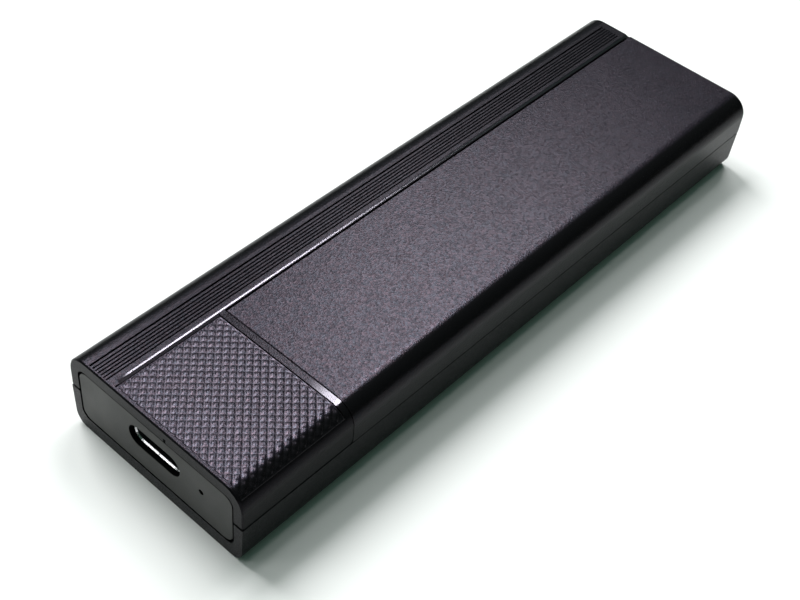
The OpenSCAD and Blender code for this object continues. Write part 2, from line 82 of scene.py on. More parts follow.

# Glossy bar behind the grip pad: widest extent along Y, depth below the top, and the
# X positions between which it turns to bare metal, a painted highlight at its right end
BAR_WIDTH = 1.4 * MM
BAR_DROP = 0.12 * MM
BAR_PAINTED_HIGHLIGHT = (8 * MM, 11.5 * MM)
BAR_GLOSS = 0.45
# Colour of the rail line and of the bar's right end: part real polish, part painted highlight
BARE_METAL_AND_PAINTED_HIGHLIGHT = (0.16, 0.15, 0.175)

# Anodised metal: darkest tone of the case, tints of its sparkle; the flakes' size and the
# relief's depth are multiples of the grain size
ANODISED_DARK = (0.003, 0.003, 0.0035)
FLAKE_TINTS = ((0.72, 0.76, 1.0), (1.0, 0.74, 0.94))
FLAKE_SIZE = 1.3
GRAIN_RELIEF = 0.06

# Plain black of the case, and the drop below the top at which the surface turns darker and less glossy
CASE_BLACK = (0.0045, 0.0045, 0.005)
COVER_FADE = (0.16 * MM, 0.03 * MM)
PAD_FADE = (0.3 * MM, 0.16 * MM)

# End plates: satin face, edges painted near-black as painted shade, and the distance behind the case's
# end where they meet
PLATE_SATIN = ((0.0105, 0.0105, 0.0095), (0.0145, 0.0145, 0.0135))
PLATE_PAINTED_SHADE = (0.002, 0.002, 0.002)
PLATE_FADE = (0.13 * MM, 0.1 * MM)

# Handling marks of satin faces, and the fine grain of mouldings
MARK_SIZE = 6 * MM
MARK_STRETCH = (1, 0.35, 1)
MOULD_GRAIN = 0.12 * MM

# Leaded packages: node, body width, lift off the board, leads per side, pitch, lead width
LEADED_CHIPS = (
    ("surge_arrays", 1.6 * MM, 0.1 * MM, 3, 0.95 * MM, 0.4 * MM),
    ("flash_chip", 3.9 * MM, 0.15 * MM, 4, 1.27 * MM, 0.42 * MM),
    ("buffer_chips", 6.1 * MM, 0.12 * MM, 24, 0.5 * MM, 0.22 * MM),
)
LEAD_THICKNESS = 0.14 * MM

# Leadless packages: node, pads per side, pitch
FLAT_CHIPS = (
    ("usb_bridge_chip", 14, 0.5 * MM),
    ("regulator_chips", 4, 0.65 * MM),
)

# Packages on solder balls: node, balls across and along
BALL_GRID_CHIPS = (
    ("gate_array_chip", 14, 14),
    ("memory_chip", 14, 8),
)
BALL_RADIUS = 0.22 * MM

# Share of a package's height at which its halves meet and its leads come out
PARTING_LEVEL = 0.45

# Resistor arrays and header: terminals per long side, pin columns
ARRAY_TERMINALS = 4
HEADER_COLUMNS = 9

# Header pins: length of the point, and how far in front of the header's body the shaft
# starts, the tail bends and its solder ends
PIN_POINT = 0.5 * MM
PIN_SHAFT_START = 0.35 * MM
PIN_BENDS = (0.15 * MM, 0.45 * MM, 0.62 * MM)
PIN_SOLDER_END = 0.3 * MM
PIN_TAIL_THICKNESS = 0.3 * MM

# Switch: gaps kept below the pressed plunger and around it
SWITCH_BOTTOM_GAP = 0.05 * MM
SWITCH_SIDE_GAP = 0.06 * MM

# Vertices closer than this are one, when a CAD mesh is split into solids
WELD_DISTANCE = 0.001 * MM

# Camera: the point it looks at, its side, height, roll, distance and lens
CAMERA_TARGET = Vector((3.0, -12.6, 6.6)) * MM
CAMERA_AZIMUTH = 37.6
CAMERA_ELEVATION = 46.2
CAMERA_ROLL = -6.5
CAMERA_DISTANCE = 186.3 * MM
CAMERA_LENS = 61.3
CAMERA_SENSOR = 36
CAMERA_CLIP = 0.01

# Studio: name, azimuth right of the back, elevation, width and height, radiance
LIGHT_DISTANCE = 0.9
STUDIO_LIGHTS = (
    ("left_softbox", -85, 56, (0.42, 0.42), 14.8),
    ("sheen_softbox", -34, 51, (0.285, 0.31), 6.4),
    ("edge_strip", -15, 62, (0.07, 0.24), 22),
    ("back_strip", 1, 67, (0.06, 0.25), 14),
    ("lip_card", -142, 38, (0.3, 0.2), 3.5),
)
SKY_COLOUR = (0.58, 1.0, 0.8, 1.0)
SKY_ZENITH = 0.155
SKY_HORIZON = 0.015
SKY_RISE = 0.1
FLOOR_HALF = 3.0


# ------------------------------------ shader nodes


class Shader:
    """A material under construction: its node tree and its principled shader."""

    def __init__(self, name, **constants):
        self.material = bpy.data.materials.new(name)
        self.material.use_nodes = True
        self.tree = self.material.node_tree
        self.principled = self.tree.nodes["Principled BSDF"]
        self.coords = self.node("ShaderNodeTexCoord").outputs["Object"]
        for key, value in constants.items():
            self.principled.inputs[key.replace("_", " ")].default_value = value

    def node(self, kind, **settings):
        made = self.tree.nodes.new(kind)
        for key, value in settings.items():
            setattr(made, key, value)
        return made

    def link(self, source, target):
        self.tree.links.new(source, target)

    def scaled(self, size, stretch=(1, 1, 1)):
        """Coordinates in which one unit is `size` metres."""
        mapping = self.node("ShaderNodeMapping")
        mapping.inputs["Scale"].default_value = [s / size for s in stretch]
        self.link(self.coords, mapping.inputs["Vector"])
        return mapping.outputs["Vector"]

    def noise(self, size, detail=2.0, roughness=0.5, stretch=(1, 1, 1)):
        """Noise from 0 to 1 whose features are about `size` metres across."""
        made = self.node("ShaderNodeTexNoise")
        made.inputs["Scale"].default_value = 1.0
        made.inputs["Detail"].default_value = detail
        made.inputs["Roughness"].default_value = roughness
        self.link(self.scaled(size, stretch), made.inputs["Vector"])
        return made.outputs["Fac"]

    def cells(self, size, feature="F1", distance="EUCLIDEAN", random=1.0, output="Distance"):
        """Voronoi cells about `size` metres across."""
        made = self.node("ShaderNodeTexVoronoi", feature=feature, distance=distance)
        made.inputs["Scale"].default_value = 1.0
        made.inputs["Randomness"].default_value = random
        self.link(self.scaled(size), made.inputs["Vector"])
        return made.outputs[output]

    def axis(self, name):
        axes = self.node("ShaderNodeSeparateXYZ")
        self.link(self.coords, axes.inputs["Vector"])
        return axes.outputs[name]

    def map_range(self, value, low, high, to_low, to_high):
        made = self.node("ShaderNodeMapRange")
        self.link(value, made.inputs["Value"])
        made.inputs["From Min"].default_value = low
        made.inputs["From Max"].default_value = high
        made.inputs["To Min"].default_value = to_low
        made.inputs["To Max"].default_value = to_high
        return made.outputs["Result"]

    def mix(self, factor, first, second):
        """Mix of two colours, each a tuple or a socket."""
        made = self.node("ShaderNodeMix", data_type="RGBA")
        self.link(factor, made.inputs["Factor"])
        for socket, colour in ((made.inputs[6], first), (made.inputs[7], second)):
            if isinstance(colour, tuple):
                socket.default_value = (*colour, 1.0)
            else:
                self.link(colour, socket)
        return made.outputs[2]

    def math(self, operation, first, second):
        made = self.node("ShaderNodeMath", operation=operation)
        for socket, value in zip(made.inputs, (first, second)):
            if isinstance(value, (int, float)):
                socket.default_value = value
            else:
                self.link(value, socket)
        return made.outputs["Value"]

    def fed_by(self, key):
        """The socket that is linked to one input of the principled shader."""
        return self.principled.inputs[key].links[0].from_socket

    def colour(self, source):
        self.link(source, self.principled.inputs["Base Color"])

    def roughness(self, source):
        self.link(source, self.principled.inputs["Roughness"])

    def bump(self, height, depth, after=None):
        """Relief of `depth` metres where height goes from 0 to 1."""
        made = self.node("ShaderNodeBump")
        made.inputs["Strength"].default_value = 1.0
        made.inputs["Distance"].default_value = depth
        self.link(height, made.inputs["Height"])
        if after is not None:
            self.link(after, made.inputs["Normal"])
        self.link(made.outputs["Normal"], self.principled.inputs["Normal"])
        return made.outputs["Normal"]


# ------------------------------------ materials


def blasted_metal(name, dark, light, grain, roughness, specular, relief=GRAIN_RELIEF):
    """Dark anodised metal with a bead-blasted grain and a fine two-tone sparkle."""
    s = Shader(name)
    flakes = s.node("ShaderNodeSeparateColor")
    s.link(s.cells(grain * FLAKE_SIZE, output="Color"), flakes.inputs["Color"])
    tint = s.mix(flakes.outputs["Red"], *FLAKE_TINTS)
    s.link(tint, s.principled.inputs["Specular Tint"])
    level = s.map_range(flakes.outputs["Green"], 0, 1, specular * 0.55, specular * 1.45)
    s.link(level, s.principled.inputs["Specular IOR Level"])
    coarse = s.noise(9 * MM, detail=3)
    fine = s.noise(grain, detail=3, roughness=0.65)
    tone = s.math("ADD", s.math("MULTIPLY", fine, 0.75), s.math("MULTIPLY", coarse, 0.25))
    s.colour(s.mix(s.map_range(tone, 0.35, 0.65, 0, 1), dark, light))
    s.roughness(s.map_range(fine, 0.3, 0.7, roughness - 0.05, roughness + 0.07))
    pits = s.bump(s.cells(grain * FLAKE_SIZE), grain * relief)
    s.bump(fine, grain * relief, after=pits)
    return s


def between(s, axis, low, high):
    """1 where a coordinate lies between two values, otherwise 0."""
    above = s.math("GREATER_THAN", s.axis(axis), low)
    below = s.math("LESS_THAN", s.axis(axis), high)
    return s.math("MULTIPLY", above, below)


def rail_line(s):
    """1 on the line along the rail's slope, from a little behind its front end, where its painted
    highlight starts.
    """
    pad_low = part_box("grip_pad")[0]
    frame_low, frame_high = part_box("top_frame")
    line = between(s, "X", pad_low.x - RAIL_POLISH_AND_HIGHLIGHT[0], pad_low.x - RAIL_POLISH_AND_HIGHLIGHT[1])
    line = s.math("MULTIPLY", line, between(s, "Z", frame_high.z - RAIL_DROP, frame_high.z + MM))
    # The rail line's bare metal begins a little behind the front end, where its painted highlight begins
    start = frame_low.y + RAIL_START
    return s.math("MULTIPLY", line, s.map_range(s.axis("Y"), start, start + MM, 0, 1))


def rear_bar(s):
    """1 on the frame's bar between grip pad and cover."""
    pad_low, pad_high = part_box("grip_pad")
    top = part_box("top_frame")[1].z
    bar = between(s, "X", pad_low.x, pad_high.x)
    bar = s.math("MULTIPLY", bar, between(s, "Z", top - BAR_DROP, top + MM))
    return s.math("MULTIPLY", bar, between(s, "Y", pad_high.y, pad_high.y + BAR_WIDTH))


def polish_and_painted_highlights(s):
    """Bare metal on the rail's line, part polish and part painted highlight, and at the bar's right end,
    a painted highlight; the whole bar is glossier.
    """
    line = rail_line(s)
    bar = rear_bar(s)
    base = s.fed_by("Base Color")
    rough = s.fed_by("Roughness")
    # The bar is bare metal only towards its right end: a painted highlight
    end = s.map_range(s.axis("X"), BAR_PAINTED_HIGHLIGHT[0], BAR_PAINTED_HIGHLIGHT[1], 0, 1)
    bare = s.math("MAXIMUM", line, s.math("MULTIPLY", bar, end))
    s.colour(s.mix(bare, base, BARE_METAL_AND_PAINTED_HIGHLIGHT))
    line_gloss = s.map_range(line, 0, 1, 1, RAIL_GLOSS)
    bar_gloss = s.map_range(bar, 0, 1, 1, BAR_GLOSS)
    s.roughness(s.math("MULTIPLY", rough, s.math("MULTIPLY", line_gloss, bar_gloss)))
    s.link(bare, s.principled.inputs["Metallic"])


def black_below(s, top, fade, specular):
    """Plain black under the flat top: darker and less glossy from where the rounding drops by `fade`."""
    flat = s.map_range(s.axis("Z"), top - fade[0], top - fade[1], 0, 1)
    base = s.fed_by("Base Color")
    level = s.fed_by("Specular IOR Level")
    s.colour(s.mix(flat, CASE_BLACK, base))
    black_part = s.map_range(flat, 0, 1, specular, 0)
    own_part = s.math("MULTIPLY", flat, level)
    s.link(s.math("ADD", black_part, own_part), s.principled.inputs["Specular IOR Level"])


def satin(name, base, roughness, grain=MOULD_GRAIN, worn=1.35, **constants):
    """Satin surface with a fine moulded grain and faint handling marks."""
    s = Shader(name, **constants)
    marks = s.noise(MARK_SIZE, detail=4, stretch=MARK_STRETCH)
    fine = s.noise(grain, detail=2)
    lighter = tuple(min(1.0, c * worn) for c in base)
    s.colour(s.mix(s.map_range(marks, 0.4, 0.7, 0, 1), base, lighter))
    s.roughness(s.map_range(marks, 0.3, 0.7, roughness - 0.05, roughness + 0.07))
    s.bump(fine, grain * 0.08)
    return s.material


def end_plate(name):
    """Satin face; the plate's edges and the walls of its openings are near-black and barely glossy,
    painted shade.
    """
    s = Shader(name)
    half_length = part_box("bottom_shell")[1].y
    off_middle = s.math("ABSOLUTE", s.axis("Y"), 0)
    face = s.map_range(off_middle, half_length - PLATE_FADE[0], half_length - PLATE_FADE[1], 0, 1)
    marks = s.noise(MARK_SIZE, detail=4, stretch=MARK_STRETCH)
    worn = s.mix(s.map_range(marks, 0.4, 0.7, 0, 1), *PLATE_SATIN)
    # Painted shade: behind its face the plate is near-black and barely glossy, for the shade in the gaps
    # round it and in its openings
    s.colour(s.mix(face, PLATE_PAINTED_SHADE, worn))
    s.roughness(s.map_range(marks, 0.3, 0.7, 0.37, 0.49))
    s.link(s.map_range(face, 0, 1, 0.03, 0.33), s.principled.inputs["Specular IOR Level"])
    s.bump(s.noise(MOULD_GRAIN, detail=2), 0.01 * MM)
    return s.material


def brushed(name, base, roughness, along="y", size=0.05 * MM):
    """Metal with fine lines along one axis and a little tarnish."""
    s = Shader(name, Metallic=1.0)
    stretch = (0.04, 1, 1) if along == "x" else (1, 0.04, 1)
    lines = s.noise(size, detail=2, stretch=stretch)
    tarnish = s.noise(1.5 * MM, detail=3)
    s.colour(s.mix(s.map_range(tarnish, 0.4, 0.75, 0, 1), base, tuple(c * 0.72 for c in base)))
    s.roughness(s.map_range(lines, 0.3, 0.7, roughness - 0.06, roughness + 0.1))
    s.bump(lines, size * 0.1)
    return s.material


def acrylic(name):
    """Clear light pipe, very slightly milky, with faint moulding ripples."""
    s = Shader(name, Transmission_Weight=0.9, IOR=1.49)
    milk = s.noise(0.4 * MM, detail=2)
    s.colour(s.mix(milk, (0.93, 0.95, 0.96), (0.8, 0.82, 0.84)))
    s.roughness(s.map_range(milk, 0, 1, 0.12, 0.3))
    s.bump(milk, 0.01 * MM)
    return s.material


def circuit_board(name):
    """Green solder mask over copper: routed tracks, pours, vias and a bare glass edge."""
    s = Shader(name, Coat_Weight=0.3, Coat_Roughness=0.15)
    track = s.cells(1.1 * MM, feature="DISTANCE_TO_EDGE", distance="CHEBYCHEV")
    track = s.map_range(track, 0.05, 0.09, 1, 0)
    pour = s.map_range(s.noise(5 * MM, detail=1), 0.5, 0.52, 0, 1)
    copper = s.math("MAXIMUM", track, s.math("MULTIPLY", pour, 0.6))
    masked = s.mix(copper, (0.006, 0.045, 0.02), (0.012, 0.105, 0.038))
    vias = s.cells(2.3 * MM, random=0.85)
    ring = s.map_range(vias, 0.1, 0.115, 1, 0)
    drill = s.map_range(vias, 0.055, 0.065, 1, 0)
    faced = s.mix(ring, masked, (0.55, 0.42, 0.16))
    faced = s.mix(drill, faced, (0.01, 0.01, 0.01))
    low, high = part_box("main_board")
    middle = (low.z + high.z) / 2
    off_middle = s.math("ABSOLUTE", s.math("SUBTRACT", s.axis("Z"), middle), 0)
    on_face = s.math("GREATER_THAN", off_middle, (high.z - low.z) / 2 - 0.03 * MM)
    weave = s.mix(s.noise(0.1 * MM, stretch=(1, 1, 4)), (0.3, 0.26, 0.12), (0.42, 0.38, 0.2))
    s.colour(s.mix(on_face, weave, faced))
    s.roughness(s.map_range(copper, 0, 1, 0.42, 0.34))
    s.link(s.math("MULTIPLY", s.math("MULTIPLY", ring, on_face), 0.9), s.principled.inputs["Metallic"])
    s.bump(copper, 0.02 * MM)
    return s.material


def epoxy(name):
    """Moulding compound: almost black, finely matt, with paler filler specks."""
    s = Shader(name, Specular_IOR_Level=0.4)
    specks = s.noise(0.05 * MM, detail=2)
    cloud = s.noise(1.2 * MM, detail=3)
    tone = s.math("ADD", s.math("MULTIPLY", specks, 0.6), s.math("MULTIPLY", cloud, 0.4))
    s.colour(s.mix(s.map_range(tone, 0.4, 0.65, 0, 1), (0.009, 0.009, 0.01), (0.03, 0.03, 0.032)))
    s.roughness(s.map_range(cloud, 0.3, 0.7, 0.5, 0.62))
    s.bump(specks, 0.006 * MM)
    return s.material


def speckled(name, dark, light, size, roughness, **constants):
    """Ceramic or plastic with a fine two-tone grain."""
    s = Shader(name, **constants)
    grain = s.noise(size, detail=3, roughness=0.6)
    s.colour(s.mix(s.map_range(grain, 0.35, 0.65, 0, 1), dark, light))
    s.roughness(s.map_range(grain, 0.3, 0.7, roughness - 0.05, roughness + 0.08))
    s.bump(grain, size * 0.06)
    return s.material


def case_materials():
    """Anodised case: frame, cover and pad turn plain black below their flat top."""
    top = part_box("top_frame")[1].z
    frame_metal = blasted_metal("frame_black", ANODISED_DARK, (0.006, 0.006, 0.008), 0.1 * MM, 0.24, 0.26)
    black_below(frame_metal, top, COVER_FADE, 0.07)
    polish_and_painted_highlights(frame_metal)
    cover = blasted_metal("cover_blasted", (0.003, 0.003, 0.0055), (0.018, 0.013, 0.019),
                          0.2 * MM, 0.22, 0.36)
    black_below(cover, top, COVER_FADE, 0.1)
    grip = blasted_metal("grip_textured", (0.005, 0.004, 0.0065), (0.013, 0.011, 0.017),
                         0.12 * MM, 0.25, 0.36)
    black_below(grip, top, PAD_FADE, 0.12)
    shell = blasted_metal("case_black", ANODISED_DARK, (0.006, 0.006, 0.007), 0.1 * MM, 0.3, 0.1,
                          relief=0.12)
    return {
        "frame_black": frame_metal.material,
        "case_black": shell.material,
        "cover_blasted": cover.material,
        "grip_textured": grip.material,
    }


def hardware_materials():
    """End plates, light pipe, screws, spring, thermal pad and socket."""
    return {
        "end_plate_satin": end_plate("end_plate_satin"),
        "clear_acrylic": acrylic("clear_acrylic"),
        "spring_steel": brushed("spring_steel", (0.6, 0.6, 0.62), 0.25),
        "screw_black": satin("screw_black", (0.02, 0.02, 0.022), 0.3, grain=0.04 * MM, Metallic=0.8),
        "screw_zinc": brushed("screw_zinc", (0.66, 0.67, 0.7), 0.28, size=0.03 * MM),
        "silicone_grey": speckled("silicone_grey", (0.2, 0.23, 0.27), (0.3, 0.33, 0.37),
                                  0.15 * MM, 0.7),
        "socket_steel": brushed("socket_steel", (0.72, 0.72, 0.74), 0.2),
        # Dark metal on the socket's inner faces: painted shade inside the socket
        "socket_painted_shade": brushed("socket_painted_shade", (0.06, 0.06, 0.065), 0.45),
        "insulator_black": speckled("insulator_black", (0.008, 0.008, 0.009), (0.02, 0.02, 0.02),
                                    0.08 * MM, 0.45),
        "gold_plate": brushed("gold_plate", (0.86, 0.62, 0.24), 0.22, size=0.02 * MM),
    }


def board_materials():
    """The circuit board, and the packages, ceramics and metals of the parts on it."""
    return {
        "board_green": circuit_board("board_green"),
        "chip_epoxy": epoxy("chip_epoxy"),
        "resistor_black": speckled("resistor_black", (0.01, 0.01, 0.012), (0.025, 0.025, 0.028),
                                   0.05 * MM, 0.35),
        "capacitor_tan": speckled("capacitor_tan", (0.32, 0.2, 0.1), (0.42, 0.28, 0.15),
                                  0.06 * MM, 0.42),
        "ferrite_grey": speckled("ferrite_grey", (0.035, 0.035, 0.037), (0.07, 0.07, 0.072),
                                 0.08 * MM, 0.6),
        "crystal_can": brushed("crystal_can", (0.74, 0.72, 0.68), 0.24, along="x"),
        "led_cream": speckled("led_cream", (0.8, 0.78, 0.68), (0.86, 0.84, 0.76), 0.1 * MM, 0.4),
        "switch_steel": brushed("switch_steel", (0.68, 0.68, 0.7), 0.26, along="x"),
        "tin": speckled("tin", (0.5, 0.5, 0.52), (0.66, 0.66, 0.68), 0.06 * MM, 0.3, Metallic=1.0),
        "alumina": speckled("alumina", (0.7, 0.7, 0.68), (0.8, 0.8, 0.79), 0.05 * MM, 0.5),
        "phosphor": speckled("phosphor", (0.8, 0.62, 0.08), (0.86, 0.7, 0.14), 0.05 * MM, 0.35),
        "substrate": speckled("substrate", (0.008, 0.04, 0.022), (0.012, 0.06, 0.03), 0.1 * MM, 0.4),
    }


# ------------------------------------ mesh building


def cut_rectangle(x0, y0, x1, y1, corner):
    """Outline of a rectangle with its four corners cut off."""
    return [(x0 + corner, y0), (x1 - corner, y0), (x1, y0 + corner), (x1, y1 - corner),
            (x1 - corner, y1), (x0 + corner, y1), (x0, y1 - corner), (x0, y0 + corner)]


class Builder:
    """Collects blocks, prisms, bars and cylinders of several materials into one mesh."""

    def __init__(self):
        self.bm = bmesh.new()
        self.names = []

    def slot(self, material):
        if material not in self.names:
            self.names.append(material)
        return self.names.index(material)

    def loft(self, rings, material):
        """Closed tube through rings of vertices, with a face over each end."""
        faces = [self.bm.faces.new(list(reversed(rings[0]))), self.bm.faces.new(rings[-1])]
        for first, second in zip(rings, rings[1:]):
            for i in range(len(first)):
                j = (i + 1) % len(first)
                faces.append(self.bm.faces.new((first[i], first[j], second[j], second[i])))
        index = self.slot(material)
        for face in faces:
            face.material_index = index

    def prism(self, outline, z0, z1, material, taper=0.0):
        """Upright prism over an X-Y outline; its top is smaller by `taper` on all sides."""
        centre = sum((Vector(p) for p in outline), Vector((0, 0))) / len(outline)
        rings = []
        for z, inset in ((z0, 0.0), (z1, taper)):
            ring = []
            for p in outline:
                d = Vector(p) - centre
                x = centre.x + d.x - math.copysign(min(inset, abs(d.x)), d.x)
                y = centre.y + d.y - math.copysign(min(inset, abs(d.y)), d.y)
                ring.append(self.bm.verts.new((x, y, z)))
            rings.append(ring)
        self.loft(rings, material)

    def block(self, low, high, material, taper=0.0, corner=0.0):
        """Box between two corners, optionally with cut upright corners and a tapered top."""
        (x0, y0, z0), (x1, y1, z1) = low, high
        if corner:
            outline = cut_rectangle(x0, y0, x1, y1, corner)
        else:
            outline = [(x0, y0), (x1, y0), (x1, y1), (x0, y1)]
        self.prism(outline, z0, z1, material, taper)

    def disc(self, centre, radius, z0, z1, material, taper=0.0, segments=24):
        turns = [2 * math.pi * i / segments for i in range(segments)]
        outline = [(centre[0] + radius * math.cos(turn), centre[1] + radius * math.sin(turn))
                   for turn in turns]
        self.prism(outline, z0, z1, material, taper)

    def bar(self, path, width, thickness, material, across):
        """Strip of constant section along a path of points; `across` is its width direction."""
        across = Vector(across).normalized()
        rings = []
        for i, point in enumerate(path):
            before = Vector(path[max(i - 1, 0)])
            after = Vector(path[min(i + 1, len(path) - 1)])
            normal = (after - before).normalized().cross(across)
            sideways = across * (width / 2)
            upwards = normal * (thickness / 2)
            corners = ((-1, -1), (1, -1), (1, 1), (-1, 1))
            rings.append([self.bm.verts.new(Vector(point) + sideways * a + upwards * b)
                          for a, b in corners])
        self.loft(rings, material)

    def finish(self, name, materials, edge=0.0):
        bmesh.ops.recalc_face_normals(self.bm, faces=self.bm.faces)
        mesh = bpy.data.meshes.new(name)
        self.bm.to_mesh(mesh)
        self.bm.free()
        made = add_object(name, mesh)
        for key in self.names:
            mesh.materials.append(materials[key])
        if edge:
            bevel(made, edge)
        return made


def add_object(name, mesh):
    made = bpy.data.objects.new(name, mesh)
    bpy.context.scene.collection.objects.link(made)
    return made


def mesh_object(name, vertices, faces):
    mesh = bpy.data.meshes.new(name)
    mesh.from_pydata([tuple(v) for v in vertices], [], faces)
    mesh.update()
    return add_object(name, mesh)


def bevel(obj, width, segments=2):
    made = obj.modifiers.new("broken_edges", "BEVEL")
    made.width = width
    made.segments = segments
    made.limit_method = "ANGLE"
    made.angle_limit = math.radians(35)


def solids(node):
    """Boxes (low, high) of a CAD node's separate solids, ordered by low X, then low Y."""
    bm = bmesh.new()
    bm.from_mesh(NODES[node].data)
    bmesh.ops.remove_doubles(bm, verts=bm.verts, dist=WELD_DISTANCE)
    left, found = set(bm.verts), []
    while left:
        stack, island = [left.pop()], []
        while stack:
            vertex = stack.pop()
            island.append(vertex.co.copy())
            for edge in vertex.link_edges:
                other = edge.other_vert(vertex)
                if other in left:
                    left.remove(other)
                    stack.append(other)
        low = Vector([min(v[i] for v in island) for i in range(3)])
        high = Vector([max(v[i] for v in island) for i in range(3)])
        found.append((low, high))
    bm.free()
    return sorted(found, key=lambda b: (round(b[0].x, 5), round(b[0].y, 5)))


# ------------------------------------ grip pad


def knurl(x, y):
    """Height of the diamond texture: 0 in the deepest grooves, 1 on the crests."""
    first = math.sin(math.pi * ((x + y) / math.sqrt(2) / KNURL_PITCH % 1.0)) ** KNURL_ROUNDNESS
    second = math.sin(math.pi * ((x - y) / math.sqrt(2) / KNURL_PITCH % 1.0)) ** KNURL_ROUNDNESS
    return first * (1 - KNURL_SECOND + KNURL_SECOND * second)


def pad_section(columns):
    """Points across the pad: (x, z, normal x, normal z, distance from its left edge)."""
    low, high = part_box("grip_pad")
    turn_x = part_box("top_frame")[1].x - TOP_EDGE_RADIUS
    turn_z = high.z - TOP_EDGE_RADIUS
    wrap = math.acos(1 - (high.z - low.z) / TOP_EDGE_RADIUS)
    flat = turn_x - low.x
    total = flat + wrap * TOP_EDGE_RADIUS
    points = []
    for i in range(columns + 1):
        along = total * i / columns
        angle = max(0.0, along - flat) / TOP_EDGE_RADIUS
        x = min(low.x + along, turn_x) + math.sin(angle) * TOP_EDGE_RADIUS
        z = turn_z + math.cos(angle) * TOP_EDGE_RADIUS
        points.append((x, z, math.sin(angle), math.cos(angle), along))
    return points


def knurled_pad():
    """The grip pad with its texture as real relief, closed underneath."""
    low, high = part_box("grip_pad")
    step = KNURL_PITCH * math.sqrt(2) / KNURL_STEPS
    length = high.y - low.y
    columns = round(pad_section(1)[-1][4] / step)
    rows = round(length / step)
    section = pad_section(columns)
    total = section[-1][4]
    top, under = [], []
    for j in range(rows + 1):
        y = low.y + length * j / rows
        for x, z, nx, nz, along in section:
            edge = min(along, total - along, y - low.y, high.y - y)
            sink = (1 - knurl(along, y)) * KNURL_DEPTH if edge > PAD_MARGIN else 0.0
            top.append((x - nx * sink, y, z - nz * sink))
            under.append((x - nx * PAD_THICKNESS, y, z - nz * PAD_THICKNESS))
    base, across = len(top), columns + 1
    faces = []
    for j in range(rows):
        for i in range(columns):
            a = j * across + i
            quad = (a, a + 1, a + across + 1, a + across)
            faces.append(quad)
            faces.append(tuple(base + v for v in reversed(quad)))
    rim = list(range(across))
    rim += [j * across + columns for j in range(1, rows + 1)]
    rim += [rows * across + i for i in range(columns - 1, -1, -1)]
    rim += [j * across for j in range(rows - 1, 0, -1)]
    for a, b in zip(rim, rim[1:] + rim[:1]):
        faces.append((b, a, base + a, base + b))
    made = mesh_object("knurled_grip_pad", top + under, faces)
    for polygon in made.data.polygons:
        polygon.use_smooth = True
    return made


# ------------------------------------ parts on the board


def moulded_body(b, low, high, edge=0.09 * MM):
    """Moulded package: inset foot, straight lower half, tapered upper half, pin-one mark."""
    middle = low.z + (high.z - low.z) * PARTING_LEVEL
    inset = Vector((edge, edge, 0))
    b.block(low + inset, (high.x - edge, high.y - edge, low.z + edge), "chip_epoxy")
    b.block((low.x, low.y, low.z + edge), (high.x, high.y, middle), "chip_epoxy")
    b.block((low.x, low.y, middle), high, "chip_epoxy", taper=edge)
    reach = min(high.x - low.x, high.y - low.y) * 0.14
    spot = (low.x + edge + reach * 1.4, high.y - edge - reach * 1.4)
    b.disc(spot, reach * 0.45, high.z, high.z + 0.004 * MM, "resistor_black")


def gull_leads(b, low, high, span, board, count, pitch, width):
    """Bent leads along both long sides of a moulded body, and their pads on the board."""
    thick = LEAD_THICKNESS
    exit_z = low.z + (high.z - low.z) * PARTING_LEVEL
    middle = (low.y + high.y) / 2
    for side, start in ((-1, low.x), (1, high.x)):
        tip = (low.x + high.x) / 2 + side * span
        knee = start + side * abs(tip - start) * 0.45
        for i in range(count):
            y = middle + (i - (count - 1) / 2) * pitch
            path = [(start - side * 0.1 * MM, y, exit_z), (knee - side * 0.12 * MM, y, exit_z),
                    (knee, y, exit_z - 0.1 * MM), (knee + side * 0.08 * MM, y, board + thick * 1.3),
                    (knee + side * 0.18 * MM, y, board + thick * 0.8), (tip, y, board + thick * 0.7)]
            b.bar(path, width, thick, "tin", (0, 1, 0))
            b.block((min(knee, tip) - 0.05 * MM, y - width * 0.6, board),
                    (max(knee, tip) + 0.05 * MM, y + width * 0.6, board + 0.03 * MM), "tin")


def leaded_chips(node, body_width, lift, count, pitch, width, materials):
    """Packages with gull-wing leads, in place of the CAD solids of one node."""
    b = Builder()
    for low, high in solids(node):
        middle = (low.x + high.x) / 2
        body_low = Vector((middle - body_width / 2, low.y, low.z + lift))
        body_high = Vector((middle + body_width / 2, high.y, high.z))
        moulded_body(b, body_low, body_high)
        gull_leads(b, body_low, body_high, (high.x - low.x) / 2, low.z, count, pitch, width)
    return b.finish(node + "_detailed", materials)


def flat_chips(node, per_side, pitch, materials):
    """Leadless packages with a row of solder pads along each side."""
    b = Builder()
    for low, high in solids(node):
        moulded_body(b, low, high, edge=0.04 * MM)
        centre = (low + high) / 2
        for i in range(per_side):
            d = (i - (per_side - 1) / 2) * pitch
            half = pitch * 0.28
            top = low.z + 0.2 * MM
            out = 0.012 * MM
            for x0, x1 in ((low.x - out, low.x + 0.1 * MM), (high.x - 0.1 * MM, high.x + out)):
                b.block((x0, centre.y + d - half, low.z), (x1, centre.y + d + half, top), "tin")
            for y0, y1 in ((low.y - out, low.y + 0.1 * MM), (high.y - 0.1 * MM, high.y + out)):
                b.block((centre.x + d - half, y0, low.z), (centre.x + d + half, y1, top), "tin")
    return b.finish(node + "_detailed", materials)


def ball_grid_chip(node, across, along, materials):
    """Package on solder balls: a thin laminate with a moulded cap on it."""
    low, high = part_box(node)
    b = Builder()
    laminate = (low.z + 0.3 * MM, low.z + 0.55 * MM)
    b.block((low.x, low.y, laminate[0]), (high.x, high.y, laminate[1]), "substrate", corner=0.1 * MM)
    inset = 0.45 * MM
    moulded_body(b, Vector((low.x + inset, low.y + inset, laminate[1])),
                 Vector((high.x - inset, high.y - inset, high.z)))
    for i in range(across):
        for j in range(along):
            x = low.x + (high.x - low.x) * (i + 0.5) / across
            y = low.y + (high.y - low.y) * (j + 0.5) / along
            b.disc((x, y), BALL_RADIUS, low.z, laminate[0], "tin", taper=0.05 * MM, segments=12)
    return b.finish(node + "_detailed", materials)


